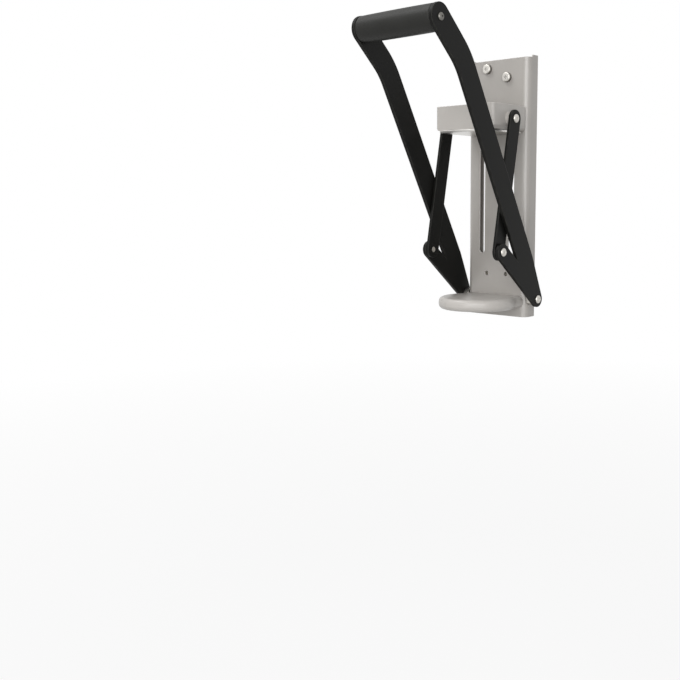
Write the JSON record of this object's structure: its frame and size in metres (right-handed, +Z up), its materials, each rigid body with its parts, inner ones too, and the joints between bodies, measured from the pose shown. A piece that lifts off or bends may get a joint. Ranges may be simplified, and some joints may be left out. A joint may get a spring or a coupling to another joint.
{
  "type": "lever can crusher",
  "caption": "Wall-mounted press whose long forked lever pulls a ram down a slotted steel channel through side links and flattens a drinks can on a round anvil shelf.",
  "frame": {"origin": "on the wall, midway between the two lower wall screw holes", "axes": "+X to the right seen from the front, +Y into the wall, +Z up"},
  "size_m": [0.1308, 0.2334, 0.3749],
  "materials": {
    "grey_paint": "warm light grey powder coat, satin, fine orange peel",
    "black_paint": "black powder coat, satin, fine orange peel",
    "grip_plastic": "dark grey moulded plastic, matte",
    "bright_steel": "nickel plated steel, softly brushed",
    "zinc_steel": "zinc plated steel, satin"
  },
  "bodies": {
    "frame": {"back_channel": "grey_paint", "anvil_shelf": "grey_paint", "anvil_rivets": "zinc_steel", "wall_sleeves": "zinc_steel", "wall_screws": "bright_steel", "pivot_axle": "zinc_steel", "pivot_bush_right": "zinc_steel", "pivot_bush_left": "zinc_steel"},
    "lever": {"lever_arm_right": "black_paint", "lever_arm_left": "black_paint", "handle_core": "zinc_steel", "grip_sleeve": "grip_plastic", "handle_screw_right": "bright_steel", "handle_screw_left": "bright_steel", "crank_rivet_right": "zinc_steel", "crank_rivet_left": "zinc_steel"},
    "ram": {"ram_shell": "grey_paint", "press_plate": "bright_steel", "plate_rivets": "zinc_steel", "guide_studs": "bright_steel", "guide_keeper": "bright_steel", "link_rivet_right": "zinc_steel", "link_rivet_left": "zinc_steel"},
    "links": {"link_right": "black_paint", "link_left": "black_paint", "link_plug_right": "zinc_steel", "link_plug_left": "zinc_steel"}
  },
  "joints": [
    {"name": "lever_pivot", "type": "hinge", "parent": "frame", "child": "lever", "pos_m": [0, -0.012, -0.032], "axis": [1, 0, 0], "range_deg": [0, 114.4]},
    {"name": "ram_slide", "type": "slide", "parent": "frame", "child": "ram", "axis": [0, 0, 1], "range_m": [-0.165, 0]},
    {"name": "link_pivot", "type": "hinge", "parent": "ram", "child": "links", "pos_m": [0, -0.06, 0.20208], "axis": [1, 0, 0], "range_deg": [0, 18]}
  ],
  "couplings": [
    {"joint": "ram_slide", "follows": "lever_pivot", "m_per_rad": -0.082526},
    {"joint": "link_pivot", "follows": "lever_pivot", "ratio": 0.15641}
  ]
}
